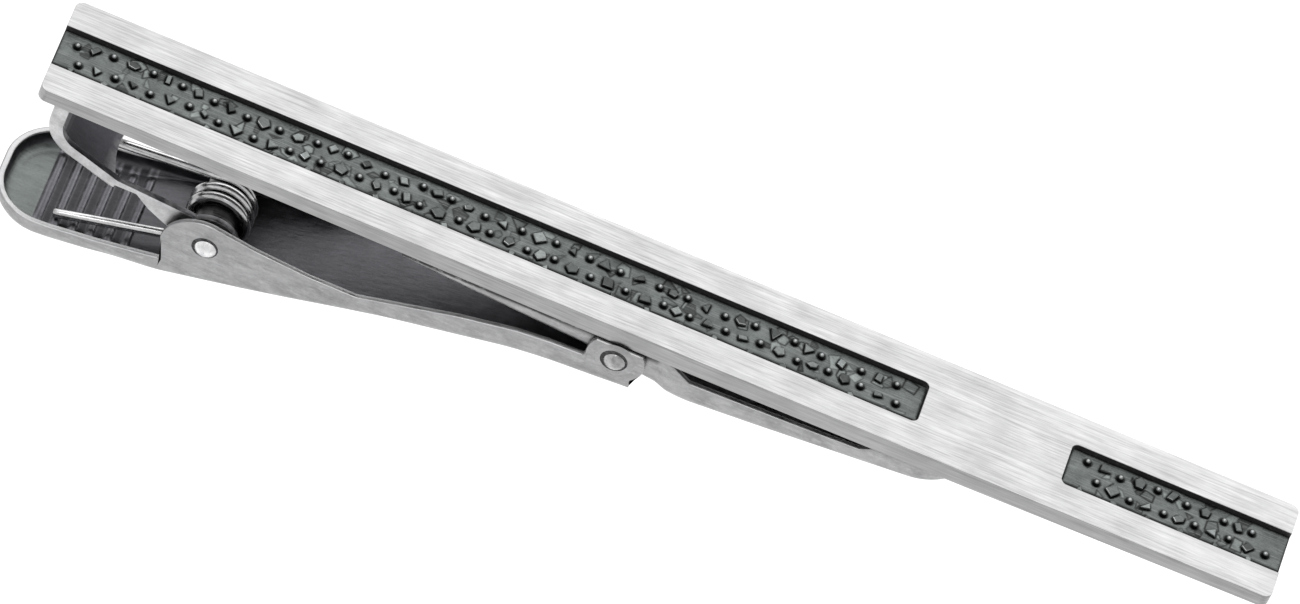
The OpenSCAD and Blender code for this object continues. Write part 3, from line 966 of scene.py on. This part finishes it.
def make_lever():
    """The finger lever: a sheet channel with two pairs of ears, a cup and grip ribs."""
    points, faces, inside, rims = channel(
        lever_rim(),
        lever_under,
        lambda x: LEVER_HALF,
        (LEVER_LOW[0], CUP_CORNER, LEVER_HALF - CUP_CORNER, CUP_RIM),
        POLE_X,
        lever_bend,
        lever_lift,
    )
    spots = np.array(points)
    above = spots[:, 2] - np.array([lever_under(x) for x in spots[:, 0]])
    floor = (above < SHEET + RIB_H + 0.05) * np.array(inside)
    first_edge = RIB_X - RIB_HALF - 0.03
    last_edge = RIB_X + (RIB_COUNT - 1) * RIB_PITCH + RIB_HALF
    cup = floor * (spots[:, 0] < first_edge)
    ribbed = floor * (spots[:, 0] >= first_edge) * (spots[:, 0] < last_edge)
    centres = RIB_X + RIB_PITCH * np.arange(RIB_COUNT)
    off_rib = np.abs(spots[:, :1] - centres).min(1)
    # Painted highlights on the rib shoulders and tops, painted shade between them
    shoulder_highlight = np.exp(-(((off_rib - RIB_EDGE) / RIB_EDGE_WIDTH) ** 2))
    tone = 1.0 + ribbed * (RIB_EDGE_HIGHLIGHT * shoulder_highlight + RIB_TOP_HIGHLIGHT * (off_rib < RIB_TOP) - RIB_SHADE)
    piece(
        "lever_body", points, faces, "lever", [LEVER_STEEL],
        {"inside": inside, "rim": rims, "cup": cup, "tone": tone}, ["lever"], sharp=50,
    )
    make_bosses()


def make_bosses():
    """The low round bosses pressed out of the ears at the jaw's pivot."""
    for side, name in ((-1, "near"), (1, "far")):
        wall = side * LEVER_HALF
        profile = [(BOSS_R + 0.05, wall - side * 0.02), (BOSS_R + 0.02, wall + side * 0.005),
                   (BOSS_R - 0.05, wall + side * (BOSS_H - 0.01)), (BOSS_R - 0.1, wall + side * BOSS_H),
                   (0.3, wall + side * BOSS_H)]
        points, faces = revolve(profile, JAW_PIVOT)
        n = len(points)
        piece("lever_boss_" + name, points, faces, "lever", [LEVER_STEEL],
              {"inside": [0] * n, "rim": [0.3] * n, "cup": [0] * n, "tone": [1] * n})


# ---------------------------------------------------------------- jaw

TAIL_HALF, TRAY_HALF = 2.55, 2.75
JOGGLE = (0.5, 1.3)
TIP_FLAT = 0.1
TAIL_SHADE = 0.45
JAW_BEND, TAIL_BEND_LESS = 0.36, 0.06
# Gaps between the jaw's rim and the bar's back
TAIL_GAP, TIP_GAP = 0.12, 0.04
JAW_UNDER = np.array([
    [-11.7, -1.5], [-9, -1.8], [-3, -2.25], [-0.2, -2.72], [2.05, -3.0],
    [5.4, -2.7], [10.3, -2.2], [12.6, -1.95], [15, -1.72]])


def bar_back(x):
    """Height of the bar's back, which bows gently."""
    return BAR_LOW[2] + 0.3 * (x / BAR_HIGH[0]) ** 2


def jaw_under(x):
    return float(np.mean([np.interp(x + d, *JAW_UNDER.T) for d in (-0.4, -0.2, 0, 0.2, 0.4)]))


def jaw_bend(x):
    return JAW_BEND - TAIL_BEND_LESS * float(smoothstep((-9 - x) / 2))


def make_jaw():
    """The jaw: a sheet channel whose tray is a little wider than its tail."""
    x0, tip = JAW_LOW[0], JAW_HIGH[0]
    top = [
        (x0, bar_back(x0) - TAIL_GAP), (0, -1.1), (1.2, -1.15), (2.05, -1.72),
        (7.2, -1.54), (9.95, -1.4), (10.5, -1.05),
        (12, bar_back(12) - TIP_GAP), (tip, bar_back(tip) - TIP_GAP)]
    low = jaw_under(x0) + 0.3
    rows = [(x0, x0, z) for z in np.linspace(low, top[0][1], 3)]
    corner = tip - (TRAY_HALF - TIP_FLAT)
    line = [(x, x, z) for x, z in top if x < corner] + [(corner, corner, rim_height(corner, top))]
    rows += dense(line, 0.2)[1:]

    def half(x):
        share = float(smoothstep((x - JOGGLE[0]) / (JOGGLE[1] - JOGGLE[0])))
        return TAIL_HALF + (TRAY_HALF - TAIL_HALF) * share

    points, faces, inside, rims = channel(
        rows, jaw_under, half, (tip, TRAY_HALF - TIP_FLAT, TIP_FLAT, top),
        tip - 1.6, jaw_bend, lambda x: 0.0,
    )
    spots = np.array(points)
    gap_top = np.array([bar_back(x) for x in spots[:, 0]]) - TAIL_SHADE
    shaded = (spots[:, 0] < JOGGLE[0]) * smoothstep((spots[:, 2] - gap_top) / 0.1)
    piece("jaw_body", points, faces, "jaw", [JAW_STEEL],
          {"inside": inside, "rim": np.array(rims) * (1 - shaded), "cup": [0.0] * len(points),
           "tone": 1 - 0.85 * shaded}, ["jaw"], sharp=50)


# ---------------------------------------------------------------- bracket and solder

WEB_BEND = 0.26
# The wide bend runs from below the foot to just short of the web's free end
BEND_END_X, BEND_TOP_Z = -24.6, -1.3
BRACKET_EDGE, SOLDER_EDGE = 0.04, 0.1


def make_bracket():
    """The bracket, with a wide bend where its web turns into each flange."""
    work = cad_copy("bracket")

    def on_side(edge):
        return all(abs(abs(v.co.y) - BRACKET_HALF * MM) < 1e-6 for v in edge.verts)

    def along_web(edge):
        """Along the web's outer face, and neither on the foot nor at the free end."""
        middle = (edge.verts[0].co + edge.verts[1].co) / 2
        beside_web = any(
            abs(f.normal.y) < 0.2 and f.normal.z < 0.3 and abs(f.calc_center_median().y) < 0.3 * MM
            for f in edge.link_faces
        )
        return beside_web and middle.x < BEND_END_X * MM and middle.z < BEND_TOP_Z * MM

    outer = [e for e in work.edges if is_sharp(e, 50) and on_side(e) and along_web(e)]
    bevel(work, outer, WEB_BEND, 5)
    bevel(work, [e for e in work.edges if is_sharp(e, 50)], BRACKET_EDGE, 2)
    from_bmesh("bracket_body", work, "bar", "bracket", [BRACKET_STEEL])


def make_solder():
    work = cad_copy("bracket_solder")
    bevel(work, [e for e in work.edges if is_sharp(e, 50)], SOLDER_EDGE, 3)
    from_bmesh("solder_bed", work, "bar", "bracket_solder", [SOLDER])


# ---------------------------------------------------------------- rivets


SHANK_R = 0.45
PIN_HEAD_R, PIN_SEAT_R = 0.51, 0.6
JAW_HEAD_R, JAW_SEAT_R = 0.5, 0.62
# The heads, and the rings of painted shadow under them, sit a little off their holes
HEAD_SHIFT = np.array([0.0, 0.0, -0.03])
SEAT_SHIFT = np.array([-0.04, 0.0, 0.03])
SEAT_RISE = 0.012


def rivet_profile(reach, radius, height):
    """(radius, y) from the far dome's middle to the near one's."""
    dome_r = (radius**2 + height**2) / (2 * height)
    angles = np.linspace(0.02, math.asin(radius / dome_r), 12)
    dome = [(dome_r * math.sin(a), height - dome_r + dome_r * math.cos(a)) for a in angles]
    far_side = [(r, reach + h) for r, h in dome]
    far_side += [(radius, reach + 0.01), (radius - 0.03, reach), (SHANK_R, reach)]
    return far_side + [(r, -y) for r, y in reversed(far_side)]


def make_rivet(node, pivot, name, head_r, seat_r, material):
    """A rivet with two domed heads, and a ring of painted shadow under each head."""
    head_y = box_mm(node)[1][1]
    seat = LEVER_HALF + (BOSS_H if node == "jaw_rivet" else 0.0)
    points, faces = revolve(rivet_profile(seat, head_r, head_y - seat), pivot + HEAD_SHIFT)
    piece(name, points, faces, "lever", [material], None, [node])
    for side, where in ((-1, "near"), (1, "far")):
        profile = [(0.2, side * (seat + SEAT_RISE)), (seat_r, side * (seat + SEAT_RISE)),
                   (seat_r + 0.02, side * (seat - 0.01))]
        points, faces = revolve(profile, pivot + SEAT_SHIFT)
        piece(name + "_shadow_ring_" + where, points, faces, "lever", [SHADOW_RING])


def make_sleeve():
    """The plain tube on the lever's pin, inside the coil."""
    low, high = box_mm("spring_sleeve")
    radius, reach, soft = (high[0] - low[0]) / 2, high[1], 0.05
    profile = [(0.5, -reach), (radius - soft, -reach), (radius, soft - reach), (radius, reach - soft),
               (radius - soft, reach), (0.5, reach), (0.5, -reach)]
    points, faces = revolve(profile, LEVER_PIVOT)
    piece("sleeve_body", points, faces, "lever", [SLEEVE], None, ["spring_sleeve"])


# ---------------------------------------------------------------- spring

WIRE_R, COIL_R, COIL_PITCH, COIL_Y0 = 0.225, 1.3, 0.6, -1.3
LOWER_SLOPE, LOWER_L, LOWER_DRIFT = 15, 7.4, -0.34
UPPER_SLOPE, UPPER_L, UPPER_DRIFT = 10.5, 5.6, 0.38
TURNS = 2
WIRE_SIDES = 18
# Size of each ring that rounds a cut end, and how far it slides along the wire
WIRE_END = [(0.55, 0.0), (0.9, 0.03), (1.0, 0.09)]


def spring_path():
    """Middle line of the wire: the lower leg, the coil, then the upper leg."""
    first, last = -90 + LOWER_SLOPE, 90 + UPPER_SLOPE + 360 * TURNS

    def coil(a):
        return LEVER_PIVOT + np.array([
            COIL_R * math.cos(math.radians(a)),
            COIL_Y0 + COIL_PITCH * (a - first) / 360,
            COIL_R * math.sin(math.radians(a))])

    def leg(start, length, slope, drift, share):
        a = math.radians(slope)
        return start + np.array([-length * math.cos(a), drift, -length * math.sin(a)]) * share

    line = [leg(coil(first), LOWER_L, LOWER_SLOPE, LOWER_DRIFT, s) for s in np.linspace(1, 0.02, 24)]
    line += [coil(a) for a in np.linspace(first, last, 150)]
    line += [leg(coil(last), UPPER_L, UPPER_SLOPE, UPPER_DRIFT, s) for s in np.linspace(0.02, 1, 20)]
    return np.array(line)


def make_spring():
    path = spring_path()
    along = np.gradient(path, axis=0)
    along /= np.linalg.norm(along, axis=1)[:, None]
    points = []
    rings = [(path[0], along[0], s, d) for s, d in WIRE_END]
    rings += [(p, t, 1.0, 0.0) for p, t in zip(path[1:-1], along[1:-1])]
    rings += [(path[-1], along[-1], s, -d) for s, d in reversed(WIRE_END)]
    for spot, tangent, size, slide in rings:
        side = np.cross(tangent, [0.0, 1.0, 0.0])
        side /= np.linalg.norm(side)
        up = np.cross(side, tangent)
        for k in range(WIRE_SIDES):
            a = 2 * math.pi * k / WIRE_SIDES
            out = math.cos(a) * side + math.sin(a) * up
            points.append(tuple(spot + tangent * slide + WIRE_R * size * out))
    faces = ring_faces(len(rings), WIRE_SIDES)
    faces.append(list(range(WIRE_SIDES)))
    faces.append(list(range((len(rings) - 1) * WIRE_SIDES, len(rings) * WIRE_SIDES)))
    spring = piece("spring_wire", points, faces, None, [WIRE], None, ["torsion_spring"])
    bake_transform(spring)


# ---------------------------------------------------------------- stage


def floor_material():
    material, tree = new_material("pale_floor")
    cloud = noise(tree, (0.004, 0.004, 0.004), 2.0)
    colour = mix(tree, remap(tree, cloud, 0.3, 0.7, 0, 1), (0.9, 0.9, 0.9, 1), (0.94, 0.94, 0.94, 1))
    finish_material(tree, colour, 0.9, metallic=0.0)
    return material


FLOOR_Z, FLOOR_REACH = -0.3, 1.5


def make_stage():
    """A pale floor well below the clip. Its size is in metres."""
    z, reach = FLOOR_Z, FLOOR_REACH
    mesh = bpy.data.meshes.new("floor")
    mesh.from_pydata(
        [(-reach, -reach, z), (reach, -reach, z), (reach, reach, z), (-reach, reach, z)],
        [], [(0, 1, 2, 3)])
    mesh.materials.append(floor_material())
    floor = bpy.data.objects.new("floor", mesh)
    bpy.context.scene.collection.objects.link(floor)


def soft_light(name, place_at, size, power):
    """A rectangular area light that points at the frame's origin. In metres and watts."""
    data = bpy.data.lights.new(name, "AREA")
    data.shape = "RECTANGLE"
    data.size, data.size_y = size
    data.energy = power
    light = bpy.data.objects.new(name, data)
    light.location = place_at
    light.rotation_mode = "QUATERNION"
    light.rotation_quaternion = (Vector((0, 0, 0)) - Vector(place_at)).to_track_quat("-Z", "Y")
    bpy.context.scene.collection.objects.link(light)


def make_lights():
    world = bpy.data.worlds.new("studio")
    world.use_nodes = True
    back = world.node_tree.nodes["Background"]
    back.inputs["Color"].default_value = (1, 1, 1, 1)
    back.inputs["Strength"].default_value = 0.95
    bpy.context.scene.world = world
    soft_light("back_softbox", (0.0, 0.42, 0.46), (0.9, 0.55), 2.3)
    soft_light("top_softbox", (-0.1, -0.1, 0.6), (0.5, 0.5), 1.7)


AZIMUTH, ELEVATION, ROLL = (math.radians(a) for a in (-2.7, 48.5, 24.57))
DISTANCE, LENS = 0.54, 342.9
AIM = Vector((-0.905, -0.69, 0)) * MM


def make_camera():
    """The camera, placed and aimed so that the view matches the photo."""
    data = bpy.data.cameras.new("camera")
    data.lens = LENS
    data.sensor_width = 36
    data.clip_start = 0.01
    camera = bpy.data.objects.new("camera", data)
    right = Vector((math.cos(AZIMUTH), math.sin(AZIMUTH), 0))
    ahead = Vector((
        -math.sin(AZIMUTH) * math.cos(ELEVATION),
        math.cos(AZIMUTH) * math.cos(ELEVATION),
        -math.sin(ELEVATION),
    ))
    up = right.cross(ahead)
    x_axis = math.cos(ROLL) * right + math.sin(ROLL) * up
    y_axis = math.cos(ROLL) * up - math.sin(ROLL) * right
    turn = Matrix((x_axis, y_axis, -ahead)).transposed()
    camera.matrix_world = Matrix.LocRotScale(AIM - DISTANCE * ahead, turn.to_quaternion(), None)
    bpy.context.scene.collection.objects.link(camera)
    bpy.context.scene.camera = camera
    bpy.context.scene.view_settings.view_transform = "Standard"


# ---------------------------------------------------------------- build

for end, seed in (("long", 3), ("short", 5)):
    bead_groups, flake_groups = islands("beads_" + end), islands("flakes_" + end)
    make_inlay("inlay_" + end, bead_groups, flake_groups, seed)
    make_beads("beads_" + end, bead_groups)
    make_flakes("flakes_" + end, flake_groups, seed + 20)
make_bar()
make_bracket()
make_solder()
make_lever()
make_jaw()
make_rivet("lever_pin", LEVER_PIVOT, "lever_rivet", PIN_HEAD_R, PIN_SEAT_R, BRIGHT_RIVET)
make_rivet("jaw_rivet", JAW_PIVOT, "jaw_pin", JAW_HEAD_R, JAW_SEAT_R, SHADED_RIVET)
make_sleeve()
make_spring()
make_stage()
make_lights()
make_camera()
